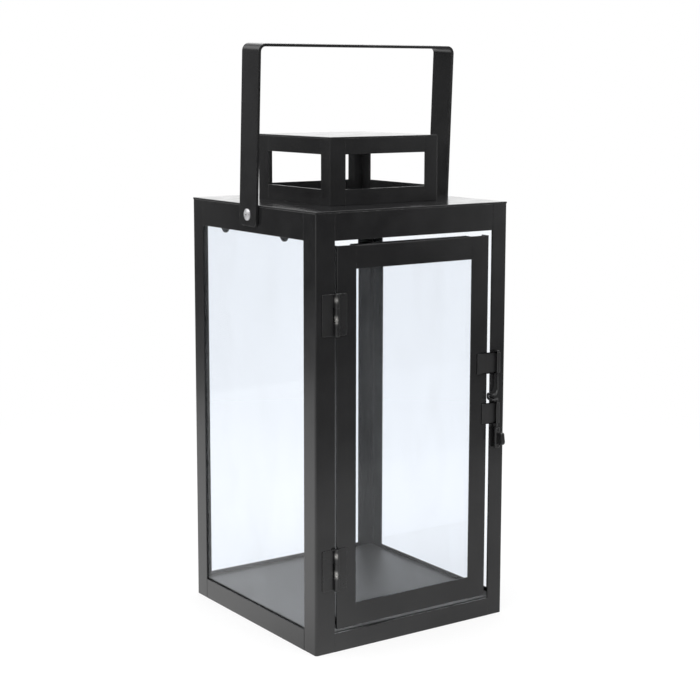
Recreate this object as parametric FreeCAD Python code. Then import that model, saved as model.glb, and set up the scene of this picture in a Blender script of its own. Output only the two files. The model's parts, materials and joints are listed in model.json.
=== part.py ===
import FreeCAD, Part
import math
import os

# A square lantern of folded sheet steel with a glazed door, a vented cap and a strap handle.
# X runs to the right along the door side, -Y is the door side and +Z is up.
# The origin is the middle of the base, on the ground. Lengths are in millimetres, angles in degrees.

# Body
body_width = 150.0
body_height = 277.5
sheet = 1.0
edge_round = 0.8
overrun = 2.0

# Corner posts: each is an angle with one leg on a side face and one on the front or rear face
side_leg = 13.4
rear_side_leg = 14.1
hinge_side_leg = 14.2
latch_side_leg = 12.0
rear_left_leg = 11.8
rear_right_leg = 13.8

# Roof plate and the rails under it
roof_sheet = 1.2
roof_edge_round = 0.5
vent_radius = 25.0
top_rail_height = 16.9
top_rail_flange = 9.0

# Base rails, the sill under the door, and the ledges that the panes stand on
base_rail_height = 13.5
sill_height = 12.0
ledge_height = 8.0

# Floor pan: a tray turned upside down, so that its skirt stands on the ground
floor_height = 11.8
floor_corner = 1.5

# Panes and the half-round tabs that hold them at the top
pane = 2.0
pane_play = 0.3
pane_side_gap = 4.0
pane_lap = 8.6
tab_sheet = 0.8
tab_width = 10.0
tab_spread = 36.0
tab_drop = 3.0
tab_foot = 5.0

# Vent cap on the roof
cap_width = 85.0
cap_height = 43.0
cap_sheet = 1.0
cap_edge_round = 0.6
cap_leg = 10.2
cap_wide_leg = 12.0
cap_rail_height = 10.0
cap_rail_flange = 6.0

# Door: angle members, with the gaps round it
door_sheet = 0.8
door_edge_round = 0.6
door_face = 14.2
door_rail_face = 14.8
door_return = 7.0
hinge_gap = 1.7
latch_gap = 2.8
door_top_gap = 3.2
door_low_gap = 2.6
door_pane_play = 0.3
clip_sheet = 0.6
clip_length = 12.0
clip_lip = 6.0
clip_foot = 3.4
clip_inset = 38.0

# Butt hinges on the front, one knuckle of the door leaf between two of the post leaf
hinge_axis_shift = 0.45
hinge_length = 26.0
hinge_low_inset = 26.1
hinge_top_inset = 29.0
knuckle_radius = 1.75
knuckle_gap = 0.2
leaf_sheet = 0.6
leaf_corner = 1.0
leaf_relief = 0.35
post_leaf_width = 10.0
door_leaf_width = 8.4
hinge_pin_radius = 1.0
hinge_pin_play = 0.05
pin_head_radius = 1.45
pin_head = 0.4

# Latch: a cranked wire turns in two barrels on the door, in front of the latch-side post
latch_axis_inset = 8.0
latch_standoff = 0.7
latch_wire_radius = 0.75
latch_wire_play = 0.05
barrel_wall = 0.8
latch_leaf_sheet = 0.8
latch_leaf_jog = 1.2
barrel_length = 13.8
latch_height_share = 0.475
upper_leaf_width = 9.0
lower_leaf_width = 4.6
wire_collar_radius = 1.2
wire_collar = 0.8
collar_gap = 0.2
arm_bend = 4.2
arm_rise = 13.8
foot_run = 2.7
tongue_rise = 3.4
tongue_start_angle = 200.0
tongue_end_angle = 160.0
tongue_lead = 1.1
lead_bend = 0.85
tip_run = 1.3
tip_bend = 1.25
foot_bend = 1.2

# Thumb piece on the lower end of the wire
thumb_radius = 2.0
thumb_length = 13.6
thumb_gap = 3.0
thumb_floor = 1.0
thumb_chamfer = 0.5
lever_width = 2.8
lever_nose = 2.2
lever_reach = 7.2
lever_shoulder = 5.9
lever_low = 2.6
lever_high = 10.8

# Handle: a flat strap bent to a U, turning on two rivets in the side rails
strap_width = 20.0
strap = 1.8
strap_gap = 0.3
strap_bend = 5.0
strap_tail = 7.3
strap_tail_round = 3.0
handle_clearance = 56.5
handle_lean = 2.7
pivot_drop = 6.5
rivet_radius = 1.95
rivet_play = 0.05
snug_play = 0.02
rivet_head_radius = 4.0
rivet_head = 1.6
rivet_head_rim = 0.4
rivet_head_gap = 0.15
rivet_tail_radius = 3.0
rivet_tail = 1.5

# Places that several pieces share
half = body_width / 2
inner = half - sheet
roof_under = body_height - roof_sheet
rail_low = roof_under - top_rail_height
pan_half = inner - pane - pane_play
door_left = -half + hinge_side_leg + hinge_gap
door_right = half - latch_side_leg - latch_gap
door_low = sill_height + door_low_gap
door_top = rail_low - door_top_gap
hinge_x = door_left - hinge_gap / 2 - hinge_axis_shift
hinge_y = -half - knuckle_radius
barrel_radius = latch_wire_radius + latch_wire_play + barrel_wall
latch_x = half - latch_axis_inset
latch_y = -half - latch_standoff - barrel_radius
lower_barrel_height = latch_height_share * body_height
tongue_foot = lower_barrel_height + barrel_length + foot_run
tongue_height = tongue_foot + tongue_rise
upper_barrel_height = tongue_height + arm_rise
hinge_heights = (door_low + hinge_low_inset, door_top - hinge_top_inset - hinge_length)
pivot_height = body_height - pivot_drop
cap_top_height = body_height + cap_height
handle_height = cap_top_height + handle_clearance + strap

X = FreeCAD.Vector(1, 0, 0)
Y = FreeCAD.Vector(0, 1, 0)
Z = FreeCAD.Vector(0, 0, 1)


def point(x, y, z):
    return FreeCAD.Vector(x, y, z)


def box(x, y, z):
    """A box from three (low, high) pairs."""
    size = (x[1] - x[0], y[1] - y[0], z[1] - z[0])
    return Part.makeBox(*size, point(x[0], y[0], z[0]))


def line(a, b):
    return Part.LineSegment(a, b).toShape()


def closed_face(points):
    return Part.Face(Part.makePolygon(points + [points[0]]))


def rod(radius, start, direction, length):
    return Part.makeCylinder(radius, length, start, direction)


def save(name, shape):
    shape.exportStep("parts/" + name + ".step")


def angle_bar(corner, u, v, run, leg_u, leg_v, thick, rounding):
    """An angle section with its rounded outer corner at a point, legs along u and v, drawn out along run."""
    def at(a, b):
        return corner + u * a + v * b
    near = rounding * (1 - math.sqrt(0.5))
    edges = [
        line(at(leg_u, 0), at(rounding, 0)),
        Part.Arc(at(rounding, 0), at(near, near), at(0, rounding)).toShape(),
        line(at(0, rounding), at(0, leg_v)),
        line(at(0, leg_v), at(thick, leg_v)),
        line(at(thick, leg_v), at(thick, thick)),
        line(at(thick, thick), at(leg_u, thick)),
        line(at(leg_u, thick), at(leg_u, 0)),
    ]
    return Part.Face(Part.Wire(edges)).extrude(run)


def square_angle_bar(corner, u, v, run, leg_u, leg_v, thick):
    """An angle section with a sharp outer corner, for rails whose edge meets another plate."""
    ends = ((0, 0), (leg_u, 0), (leg_u, thick), (thick, thick), (thick, leg_v), (0, leg_v))
    return closed_face([corner + u * a + v * b for a, b in ends]).extrude(run)


def four_sides(shape_for):
    """Calls shape_for once for each face of the square, with its outward and its along direction."""
    sides = {"front": -Y, "rear": Y, "left": -X, "right": X}
    return {name: shape_for(name, out, Z.cross(out)) for name, out in sides.items()}


def face_leg(name_x, name_y):
    """The width of a post's leg on the front or the rear face."""
    if name_y == "front":
        return hinge_side_leg if name_x == "left" else latch_side_leg
    return rear_left_leg if name_x == "left" else rear_right_leg


def wall_leg(name_x, name_y):
    """The width of a post's leg on the left or the right face."""
    return rear_side_leg if (name_x, name_y) == ("right", "rear") else side_leg


def post(name_x, name_y):
    """A corner post from the ground to the roof plate."""
    sign_x = -1 if name_x == "left" else 1
    sign_y = -1 if name_y == "front" else 1
    corner = point(sign_x * half, sign_y * half, 0)
    run = Z * roof_under
    legs = (face_leg(name_x, name_y), wall_leg(name_x, name_y))
    return angle_bar(corner, X * -sign_x, Y * -sign_y, run, *legs, sheet, edge_round)


def span_between_posts(name):
    """The two ends, along the face, of what fits between the posts on that face."""
    if name in ("left", "right"):
        return -half + wall_leg(name, "front"), half - wall_leg(name, "rear")
    return -half + face_leg("left", name), half - face_leg("right", name)


def rail_frame(name, out, along):
    """Start point at ground level on the outer face, and the run, of a rail between two posts."""
    low, high = span_between_posts(name)
    if name == "front":
        start = point(low, -half, 0)
    elif name == "rear":
        start = point(low, half, 0)
    else:
        start = point(out.x * half, low, 0)
    run = (X if name in ("front", "rear") else Y) * (high - low)
    return start, run


def top_rail(name, out, along):
    """An angle rail: its web is flush with the posts and its flange lies under the roof plate."""
    start, run = rail_frame(name, out, along)
    corner = start + Z * roof_under
    rail = square_angle_bar(corner, -out, -Z, run, top_rail_flange, top_rail_height, sheet)
    if name in ("left", "right"):
        hole_start = point(out.x * (half + overrun), 0, pivot_height)
        rail = rail.cut(rod(rivet_radius + snug_play, hole_start, -out, sheet + 2 * overrun))
    return rail


def base_rail(name, out, along):
    """An upright strip with a ledge folded inwards, which the pane stands on and the floor pan is joined to."""
    height = sill_height if name == "front" else base_rail_height
    start, run = rail_frame(name, out, along)
    ledge = half - pan_half
    profile = ((0, 0), (sheet, 0), (sheet, ledge_height - sheet), (ledge, ledge_height - sheet),
               (ledge, ledge_height), (sheet, ledge_height), (sheet, height), (0, height))
    return closed_face([start - out * a + Z * b for a, b in profile]).extrude(run)


def floor_pan():
    """A shallow tray turned over: a flat floor with a skirt down to the ground."""
    side = (-pan_half, pan_half)
    core = (-pan_half + sheet, pan_half - sheet)
    tray = box(side, side, (0, floor_height))
    uprights = [e for e in tray.Edges if abs(e.tangentAt(e.FirstParameter).z) > 0.5]
    tray = tray.makeFillet(floor_corner, uprights)
    return tray.cut(box(core, core, (-overrun, floor_height - sheet)))


def roof_plate():
    """The flat roof, with the round vent hole that the cap covers."""
    side = (-half, half)
    plate = box(side, side, (roof_under, body_height))
    uprights = [e for e in plate.Edges if abs(e.tangentAt(e.FirstParameter).z) > 0.5]
    plate = plate.makeFillet(edge_round, uprights)
    rim = [e for e in plate.Edges if e.BoundBox.ZMin > body_height - roof_sheet / 2]
    plate = plate.makeFillet(roof_edge_round, rim)
    vent_start = point(0, 0, roof_under - overrun)
    return plate.cut(rod(vent_radius, vent_start, Z, roof_sheet + 2 * overrun))


def side_pane(name, out, along):
    """A pane behind the posts and rails, standing on the ledges."""
    across = inner - pane_side_gap
    deep = sorted((inner, inner - pane))
    high = (ledge_height, rail_low + pane_lap)
    if name == "rear":
        return box((-across, across), tuple(deep), high)
    if name == "right":
        return box(tuple(deep), (-across, across), high)
    return box((-deep[1], -deep[0]), (-across, across), high)


def pane_tabs(name, out, along):
    """Two tabs under the top rail's flange that hang behind the pane, each with a half-round end."""
    tabs = []
    for place in (-tab_spread, tab_spread):
        face = pan_half
        top = roof_under - sheet
        middle = out * face + along * place + Z * top
        low = top - (rail_low - tab_drop)
        reach = tab_width / 2
        straight = low - reach

        def at(a, b):
            return middle + along * a - Z * b
        edges = [
            line(at(-reach, 0), at(-reach, straight)),
            Part.Arc(at(-reach, straight), at(0, low), at(reach, straight)).toShape(),
            line(at(reach, straight), at(reach, 0)),
            line(at(reach, 0), at(-reach, 0)),
        ]
        tongue = Part.Face(Part.Wire(edges)).extrude(-out * tab_sheet)
        corner = middle - along * reach
        foot_points = [corner, corner - out * tab_foot, corner - out * tab_foot - Z * tab_sheet,
                       corner - Z * tab_sheet]
        foot = closed_face(foot_points).extrude(along * tab_width)
        tabs.append(tongue.fuse(foot).removeSplitter())
    return Part.makeCompound(tabs)


def cap_post(sign_x, sign_y):
    """All four are the same unequal angle, turned by a quarter from one corner to the next."""
    corner = point(sign_x * cap_width / 2, sign_y * cap_width / 2, body_height)
    run = Z * (cap_height - cap_sheet)
    legs = (cap_wide_leg, cap_leg) if sign_x == sign_y else (cap_leg, cap_wide_leg)
    return angle_bar(corner, X * -sign_x, Y * -sign_y, run, *legs, cap_sheet, cap_edge_round)


def cap_rail(out, along, upper):
    """A small angle rail between two cap posts; its flange meets the roof plate or the cap's top plate."""
    low_end, high_end = -cap_width / 2 + cap_wide_leg, cap_width / 2 - cap_leg
    level = cap_top_height - cap_sheet if upper else body_height
    start = out * (cap_width / 2) + along * low_end + Z * level
    web = -Z if upper else Z
    run = along * (high_end - low_end)
    return square_angle_bar(start, -out, web, run, cap_rail_flange, cap_rail_height, cap_sheet)


def cap_top():
    side = (-cap_width / 2, cap_width / 2)
    top = cap_top_height
    plate = box(side, side, (top - cap_sheet, top))
    uprights = [e for e in plate.Edges if abs(e.tangentAt(e.FirstParameter).z) > 0.5]
    plate = plate.makeFillet(cap_edge_round, uprights)
    rim = [e for e in plate.Edges if e.BoundBox.ZMin > top - cap_sheet / 2]
    return plate.makeFillet(cap_sheet / 2, rim)


def door_stile(corner_x, inward):
    corner = point(corner_x, -half, door_low)
    run = Z * (door_top - door_low)
    return angle_bar(corner, inward, Y, run, door_face, door_return, door_sheet, door_edge_round)


def door_rail(level, inward):
    """A rail between the stiles, butted against their inner edges."""
    start = point(door_left + door_face, -half, level)
    run = X * (door_right - door_left - 2 * door_face)
    return angle_bar(start, inward, Y, run, door_rail_face, door_return, door_sheet, door_edge_round)


def door_pane():
    edge = door_sheet + door_pane_play
    near = -half + door_sheet
    return box((door_left + edge, door_right - edge), (near, near + pane), (door_low + edge, door_top - edge))


def door_clips():
    """Four small angles on the stiles' returns, each with a lip behind the door's pane."""
    near = -half + door_sheet + pane + door_pane_play
    clips = []
    for corner_x, inward in ((door_left + door_sheet, X), (door_right - door_sheet, -X)):
        for low in (door_low + clip_inset, door_top - clip_inset - clip_length):
            corner = point(corner_x, near, low)
            run = Z * clip_length
            clips.append(square_angle_bar(corner, inward, Y, run, clip_lip, clip_foot, clip_sheet))
    return Part.makeCompound(clips)


def knuckle_span(low, index):
    """The lower and upper end of one of the hinge's three knuckles."""
    share = hinge_length / 3
    start = low + index * share + (knuckle_gap / 2 if index > 0 else 0)
    end = low + (index + 1) * share - (knuckle_gap / 2 if index < 2 else 0)
    return start, end


def hinge_leaf(low, outward, width, own, bore):
    """A leaf from the pin outwards, rolled into its own knuckles and cut back round the others."""
    sign = outward.x
    far = hinge_x + sign * width
    x = tuple(sorted((hinge_x, far)))
    leaf = box(x, (-half - leaf_sheet, -half), (low, low + hinge_length))
    corners = [e for e in leaf.Edges
               if abs(e.tangentAt(e.FirstParameter).y) > 0.5 and abs(e.CenterOfMass.x - far) < leaf_corner]
    leaf = leaf.makeFillet(leaf_corner, corners)
    for index in range(3):
        start, end = knuckle_span(low, index)
        if index in own:
            leaf = leaf.fuse(rod(knuckle_radius, point(hinge_x, hinge_y, start), Z, end - start))
        else:
            reach = knuckle_radius + leaf_relief
            cut_x = tuple(sorted((hinge_x - sign * overrun, hinge_x + sign * reach)))
            cut_low = start - knuckle_gap if index > 0 else start - overrun
            cut_high = end + knuckle_gap if index < 2 else end + overrun
            cut_y = (-half - leaf_sheet - overrun, -half + overrun)
            leaf = leaf.cut(box(cut_x, cut_y, (cut_low, cut_high)))
    hole = rod(bore, point(hinge_x, hinge_y, low - overrun), Z, hinge_length + 2 * overrun)
    return leaf.cut(hole).removeSplitter()


def hinge_pin(low):
    """A pin held by the post leaf's knuckles, with a small head at each end."""
    foot = point(hinge_x, hinge_y, low - pin_head)
    top = point(hinge_x, hinge_y, low + hinge_length)
    pin = rod(hinge_pin_radius, foot, Z, hinge_length + 2 * pin_head)
    for place in (foot, top):
        pin = pin.fuse(rod(pin_head_radius, place, Z, pin_head))
    return pin.removeSplitter()


def latch_leaf(low, width):
    """A leaf on the latch stile that steps off the door, crosses the gap and ends in a barrel."""
    outer = door_right - width
    step = door_right - latch_leaf_jog
    back = -half
    off = back - latch_standoff
    t = latch_leaf_sheet
    outline = [
        point(outer, back, low), point(step, back, low), point(door_right, off, low),
        point(latch_x, off, low), point(latch_x, off - t, low), point(door_right, off - t, low),
        point(step, back - t, low), point(outer, back - t, low),
    ]
    leaf = closed_face(outline).extrude(Z * barrel_length)
    leaf = leaf.fuse(rod(barrel_radius, point(latch_x, latch_y, low), Z, barrel_length))
    hole_radius = latch_wire_radius + latch_wire_play
    hole = rod(hole_radius, point(latch_x, latch_y, low - overrun), Z, barrel_length + 2 * overrun)
    return leaf.cut(hole).removeSplitter()


def bent_rod(points, bends, radius):
    """A round wire along straight runs; each inner point is rounded by a tangent arc of its own radius."""
    pieces = []
    start = points[0]
    for index, bend in enumerate(bends):
        corner = points[index + 1]
        into = (corner - points[index]).normalize()
        out = (points[index + 2] - corner).normalize()
        turn = into.getAngle(out)
        first = corner - into * (bend * math.tan(turn / 2))
        pieces.append(rod(radius, start, into, first.distanceToPoint(start)))
        centre = corner + (out - into).normalize() * (bend / math.cos(turn / 2))
        disc = Part.Face(Part.Wire(Part.makeCircle(radius, first, into)))
        pieces.append(disc.revolve(centre, into.cross(out), math.degrees(turn)))
        start = corner + out * (bend * math.tan(turn / 2))
    pieces.append(rod(radius, start, points[-1] - start, points[-1].distanceToPoint(start)))
    return pieces[0].fuse(pieces[1:]).removeSplitter()


def on_axis(height):
    return point(latch_x, latch_y, height)


def around_axis(radius, angle, height):
    turn = math.radians(angle)
    return on_axis(height) + X * (radius * math.cos(turn)) + Y * (radius * math.sin(turn))


def latch_wire():
    """The turning wire: straight in both barrels, cranked between them to a loop that enters the door's gap.

    The loop runs on an arc about the wire's own axis, midway between the post's inner edge and the
    door's outer edge, so it can swing in behind the post or out clear of the door.
    """
    post_edge = half - latch_side_leg
    depth = latch_standoff + barrel_radius
    least = math.hypot(latch_x - post_edge, depth + sheet)
    most = math.hypot(latch_x - door_right, depth)
    crank = (least + most) / 2
    middle_angle = (tongue_start_angle + tongue_end_angle) / 2
    half_turn = math.radians(tongue_start_angle - tongue_end_angle) / 2
    first = math.radians(tongue_start_angle)
    last = math.radians(tongue_end_angle)
    lead_back = X * (-math.sin(first)) * tongue_lead + Y * math.cos(first) * tongue_lead
    run_on = X * math.sin(last) * tip_run - Y * math.cos(last) * tip_run

    def loop_points(height):
        lead = around_axis(crank, tongue_start_angle, height) + lead_back
        turn = around_axis(crank / math.cos(half_turn), middle_angle, height)
        tip = around_axis(crank, tongue_end_angle, height) + run_on
        return [lead, turn, tip]
    upper = loop_points(tongue_height)
    lower = loop_points(tongue_foot)
    top = upper_barrel_height + barrel_length + collar_gap
    end = lower_barrel_height - thumb_gap - thumb_length + thumb_floor
    points = [on_axis(top), on_axis(tongue_height)] + upper + lower[::-1]
    points += [on_axis(tongue_foot), on_axis(end)]
    bends = [arm_bend, lead_bend, crank, tip_bend, tip_bend, crank, lead_bend, foot_bend]
    wire = bent_rod(points, bends, latch_wire_radius)
    return wire.fuse(rod(wire_collar_radius, on_axis(top), Z, wire_collar)).removeSplitter()


def latch_thumb():
    """A sleeve on the wire's lower end with a flat lever that points away from the door.

    Seen from the side the lever has level lower and upper edges. Its outer edge runs down from a shoulder
    at the top to a round nose at the bottom.
    """
    low = lower_barrel_height - thumb_gap - thumb_length
    sleeve = rod(thumb_radius, on_axis(low), Z, thumb_length)
    sleeve = sleeve.makeChamfer(thumb_chamfer, [e for e in sleeve.Edges if e.Closed])
    start = on_axis(low + lever_low) - X * (lever_width / 2)
    nose = (lever_reach - lever_nose, lever_nose)
    height = lever_high - lever_low
    rise, back = height - lever_nose, nose[0] - lever_shoulder
    turn = math.atan2(rise, back) - math.asin(lever_nose / math.hypot(rise, back))
    top = (nose[0] + lever_nose * math.sin(turn), nose[1] + lever_nose * math.cos(turn))

    def at(reach, rise):
        return start - Y * reach + Z * rise
    edges = [
        line(at(0, 0), at(nose[0], 0)),
        Part.Arc(at(nose[0], 0), at(nose[0] + lever_nose, nose[1]), at(*top)).toShape(),
        line(at(*top), at(lever_shoulder, height)),
        line(at(lever_shoulder, height), at(0, height)),
        line(at(0, height), at(0, 0)),
    ]
    lever = Part.Face(Part.Wire(edges)).extrude(X * lever_width)
    bore = rod(latch_wire_radius + snug_play, on_axis(low + thumb_floor), Z, thumb_length + overrun)
    return sleeve.fuse(lever).cut(bore).removeSplitter()


def handle_strap():
    """One flat strap bent to a U, with rounded lower ends and a hole for each rivet."""
    inside = half + strap_gap
    outside = inside + strap
    low = pivot_height - strap_tail
    top = handle_height
    shoulder = top - strap_bend
    front = -strap_width / 2

    def at(x, z):
        return point(x, front, z)

    def bend_arc(sign, radius):
        middle = math.sqrt(0.5) * radius
        centre = sign * (outside - strap_bend)
        return [at(centre + sign * radius, shoulder), at(centre + sign * middle, shoulder + middle),
                at(centre, shoulder + radius)]
    outer_left = bend_arc(-1, strap_bend)
    outer_right = bend_arc(1, strap_bend)
    inner_left = bend_arc(-1, strap_bend - strap)
    inner_right = bend_arc(1, strap_bend - strap)
    edges = [
        line(at(-outside, low), outer_left[0]),
        Part.Arc(*outer_left).toShape(),
        line(outer_left[2], outer_right[2]),
        Part.Arc(*outer_right[::-1]).toShape(),
        line(outer_right[0], at(outside, low)),
        line(at(outside, low), at(inside, low)),
        line(at(inside, low), inner_right[0]),
        Part.Arc(*inner_right).toShape(),
        line(inner_right[2], inner_left[2]),
        Part.Arc(*inner_left[::-1]).toShape(),
        line(inner_left[0], at(-inside, low)),
        line(at(-inside, low), at(-outside, low)),
    ]
    band = Part.Face(Part.Wire(edges)).extrude(Y * strap_width)
    ends = [e for e in band.Edges
            if abs(e.tangentAt(e.FirstParameter).x) > 0.5 and e.BoundBox.ZMax < pivot_height - strap_tail / 2]
    band = band.makeFillet(strap_tail_round, ends)
    hole_start = point(-outside - overrun, 0, pivot_height)
    band = band.cut(rod(rivet_radius + rivet_play, hole_start, X, 2 * (outside + overrun)))
    band.rotate(point(0, 0, pivot_height), X, handle_lean)
    return band


def pivot_rivet(out):
    """A rivet through the side rail and the strap: domed head outside, formed tail inside."""
    seat = half + strap_gap + strap + rivet_head_gap
    tail = inner - rivet_tail

    rise = rivet_head - rivet_head_rim
    sphere = (rivet_head_radius ** 2 + rise ** 2) / (2 * rise)
    turn = math.asin(rivet_head_radius / sphere) / 2
    centre = seat + rivet_head - sphere

    def at(x, r):
        return point(x, r, 0)
    dome = Part.Arc(at(seat + rivet_head_rim, rivet_head_radius),
                    at(centre + sphere * math.cos(turn), sphere * math.sin(turn)),
                    at(seat + rivet_head, 0)).toShape()
    edges = [
        line(at(tail, 0), at(tail, rivet_tail_radius)),
        line(at(tail, rivet_tail_radius), at(inner, rivet_tail_radius)),
        line(at(inner, rivet_tail_radius), at(inner, rivet_radius)),
        line(at(inner, rivet_radius), at(seat, rivet_radius)),
        line(at(seat, rivet_radius), at(seat, rivet_head_radius)),
        line(at(seat, rivet_head_radius), at(seat + rivet_head_rim, rivet_head_radius)),
        dome,
        line(at(seat + rivet_head, 0), at(tail, 0)),
    ]
    rivet = Part.Face(Part.Wire(edges)).revolve(point(0, 0, 0), X, 360)
    if out.x < 0:
        rivet.rotate(point(0, 0, 0), Z, 180)
    rivet.translate(Z * pivot_height)
    return rivet


os.makedirs("parts", exist_ok=True)

for name_x in ("left", "right"):
    for name_y in ("front", "rear"):
        save("post_" + name_y + "_" + name_x, post(name_x, name_y))

for name, rail in four_sides(top_rail).items():
    save("top_rail_" + name, rail)
for name, rail in four_sides(base_rail).items():
    save("base_rail_" + name, rail)
save("floor_pan", floor_pan())
save("roof_plate", roof_plate())

for name, out in (("left", -X), ("right", X), ("rear", Y)):
    save("pane_" + name, side_pane(name, out, Z.cross(out)))
    save("pane_tabs_" + name, pane_tabs(name, out, Z.cross(out)))

for name_x, sign_x in (("left", -1), ("right", 1)):
    for name_y, sign_y in (("front", -1), ("rear", 1)):
        save("cap_post_" + name_y + "_" + name_x, cap_post(sign_x, sign_y))
for name, rail in four_sides(lambda name, out, along: cap_rail(out, along, False)).items():
    save("cap_low_rail_" + name, rail)
for name, rail in four_sides(lambda name, out, along: cap_rail(out, along, True)).items():
    save("cap_top_rail_" + name, rail)
save("cap_top", cap_top())

save("door_stile_hinge", door_stile(door_left, X))
save("door_stile_latch", door_stile(door_right, -X))
save("door_rail_top", door_rail(door_top, -Z))
save("door_rail_bottom", door_rail(door_low, Z))
save("door_pane", door_pane())
save("door_clips", door_clips())

for name, low in zip(("lower", "upper"), hinge_heights):
    save("hinge_post_leaf_" + name, hinge_leaf(low, -X, post_leaf_width, (0, 2), hinge_pin_radius))
    save("hinge_door_leaf_" + name, hinge_leaf(low, X, door_leaf_width, (1,), hinge_pin_radius + hinge_pin_play))
    save("hinge_pin_" + name, hinge_pin(low))

save("latch_leaf_upper", latch_leaf(upper_barrel_height, upper_leaf_width))
save("latch_leaf_lower", latch_leaf(lower_barrel_height, lower_leaf_width))
save("latch_wire", latch_wire())
save("latch_thumb", latch_thumb())

save("handle_strap", handle_strap())
save("pivot_rivet_left", pivot_rivet(-X))
save("pivot_rivet_right", pivot_rivet(X))

print("hinge axis", round(hinge_x, 4), round(hinge_y, 4))
print("latch axis", round(latch_x, 4), round(latch_y, 4))
print("handle pivot", round(pivot_height, 4))
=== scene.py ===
import json
import math
import bmesh
import bpy
import numpy as np
from mathutils import Matrix, Vector


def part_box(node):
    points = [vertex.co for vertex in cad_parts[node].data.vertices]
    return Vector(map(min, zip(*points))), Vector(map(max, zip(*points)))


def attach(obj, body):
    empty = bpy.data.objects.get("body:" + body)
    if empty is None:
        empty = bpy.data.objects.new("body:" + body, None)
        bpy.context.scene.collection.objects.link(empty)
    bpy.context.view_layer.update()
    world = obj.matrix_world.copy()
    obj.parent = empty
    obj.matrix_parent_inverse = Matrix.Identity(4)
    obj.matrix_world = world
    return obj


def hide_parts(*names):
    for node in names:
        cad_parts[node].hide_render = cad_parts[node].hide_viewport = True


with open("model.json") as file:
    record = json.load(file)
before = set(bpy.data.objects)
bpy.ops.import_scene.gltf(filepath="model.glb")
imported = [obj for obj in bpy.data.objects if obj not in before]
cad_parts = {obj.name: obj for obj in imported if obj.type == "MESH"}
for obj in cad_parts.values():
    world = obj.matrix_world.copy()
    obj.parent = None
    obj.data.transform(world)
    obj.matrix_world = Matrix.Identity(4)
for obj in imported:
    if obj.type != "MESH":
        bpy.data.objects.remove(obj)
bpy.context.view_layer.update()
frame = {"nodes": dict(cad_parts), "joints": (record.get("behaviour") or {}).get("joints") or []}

nodes = frame["nodes"]
mm = 0.001


# Helpers for shader nodes

def colour(code):
    parts = [int(code[i:i + 2], 16) / 255 for i in (1, 3, 5)]
    return tuple(c / 12.92 if c <= 0.04045 else ((c + 0.055) / 1.055) ** 2.4 for c in parts) + (1.0,)


def addNode(tree, kind, inputs=None, **settings):
    made = tree.nodes.new("ShaderNode" + kind)
    for name, value in settings.items():
        setattr(made, name, value)
    for name, value in (inputs or {}).items():
        if isinstance(value, bpy.types.NodeSocket):
            tree.links.new(value, made.inputs[name])
        else:
            made.inputs[name].default_value = value
    return made


def newTree(owner):
    owner.use_nodes = True
    owner.node_tree.nodes.clear()
    return owner.node_tree


def noiseOf(tree, vector, sizeMm, detail=2.0, roughness=0.5):
    # a noise whose features are about sizeMm across
    return addNode(tree, "TexNoise", {"Vector": vector, "Scale": 1 / (sizeMm * mm),
                                      "Detail": detail, "Roughness": roughness}).outputs["Fac"]


def mapped(tree, value, low, high, start=0.0, end=1.0, smooth=False):
    kind = "SMOOTHSTEP" if smooth else "LINEAR"
    inputs = {"Value": value, "From Min": start, "From Max": end, "To Min": low, "To Max": high}
    return addNode(tree, "MapRange", inputs, interpolation_type=kind).outputs["Result"]


def maths(tree, operation, first, second, clamp=False):
    return addNode(tree, "Math", {0: first, 1: second}, operation=operation, use_clamp=clamp).outputs[0]


def blended(tree, share, first, second):
    # the Mix node's colour sockets are 6 and 7 and its colour output is 2
    return addNode(tree, "Mix", {0: share, 6: first, 7: second}, data_type="RGBA").outputs[2]


# Helpers for shapes, all in millimetres

def rounded(corners, radii, steps=6):
    # an open line through corners, in a plane or in space; each inner corner becomes an arc whose centre
    # lies on the bisector, at radius / cos(half the turn) from the corner, and that touches both sides
    corners = np.asarray(corners, float)
    line = [corners[:1]]
    for before, corner, after, radius in zip(corners, corners[1:], corners[2:], radii):
        into = (corner - before) / np.linalg.norm(corner - before)
        out = (after - corner) / np.linalg.norm(after - corner)
        turn = math.acos(float(np.clip(into @ out, -1, 1)))
        start = corner - into * radius * math.tan(turn / 2)
        centre = corner + (out - into) / np.linalg.norm(out - into) * radius / math.cos(turn / 2)
        a = np.linspace(0, turn, steps + 1)[:, None]
        line.append(centre + (start - centre) * np.cos(a) + into * radius * np.sin(a))
    return np.vstack(line + [corners[-1:]])


def closedRounded(corners, radii, steps=6):
    # the same for a closed outline: it starts and ends in the middle of its last side
    corners = np.asarray(corners, float)
    middle = (corners[-1] + corners[0]) / 2
    return rounded(np.vstack([[middle], corners, [middle]]), radii, steps)[:-1]


def sheetOutline(path, thickness, soft, steps=3):
    # the section of a bent sheet: its middle line moved out by half the thickness to both sides; at the
    # two cut ends that half narrows by soft over a quarter circle
    a = np.linspace(0, math.pi / 2, steps + 1)
    along = (soft * (1 - np.cos(a)))[:, None]
    ends = thickness / 2 - soft * (1 - np.sin(a))
    first = path[0] + (path[1] - path[0]) / np.linalg.norm(path[1] - path[0]) * along
    last = path[-1] + (path[-2] - path[-1]) / np.linalg.norm(path[-2] - path[-1]) * along
    line = np.vstack([first, path[1:-1], last[::-1]])
    half = np.concatenate([ends, np.full(len(path) - 2, thickness / 2), ends[::-1]])[:, None]
    way = np.gradient(line, axis=0)
    side = np.stack([-way[:, 1], way[:, 0]], 1) / np.linalg.norm(way, axis=1)[:, None]
    return np.vstack([line - side * half, (line + side * half)[::-1]])


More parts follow.
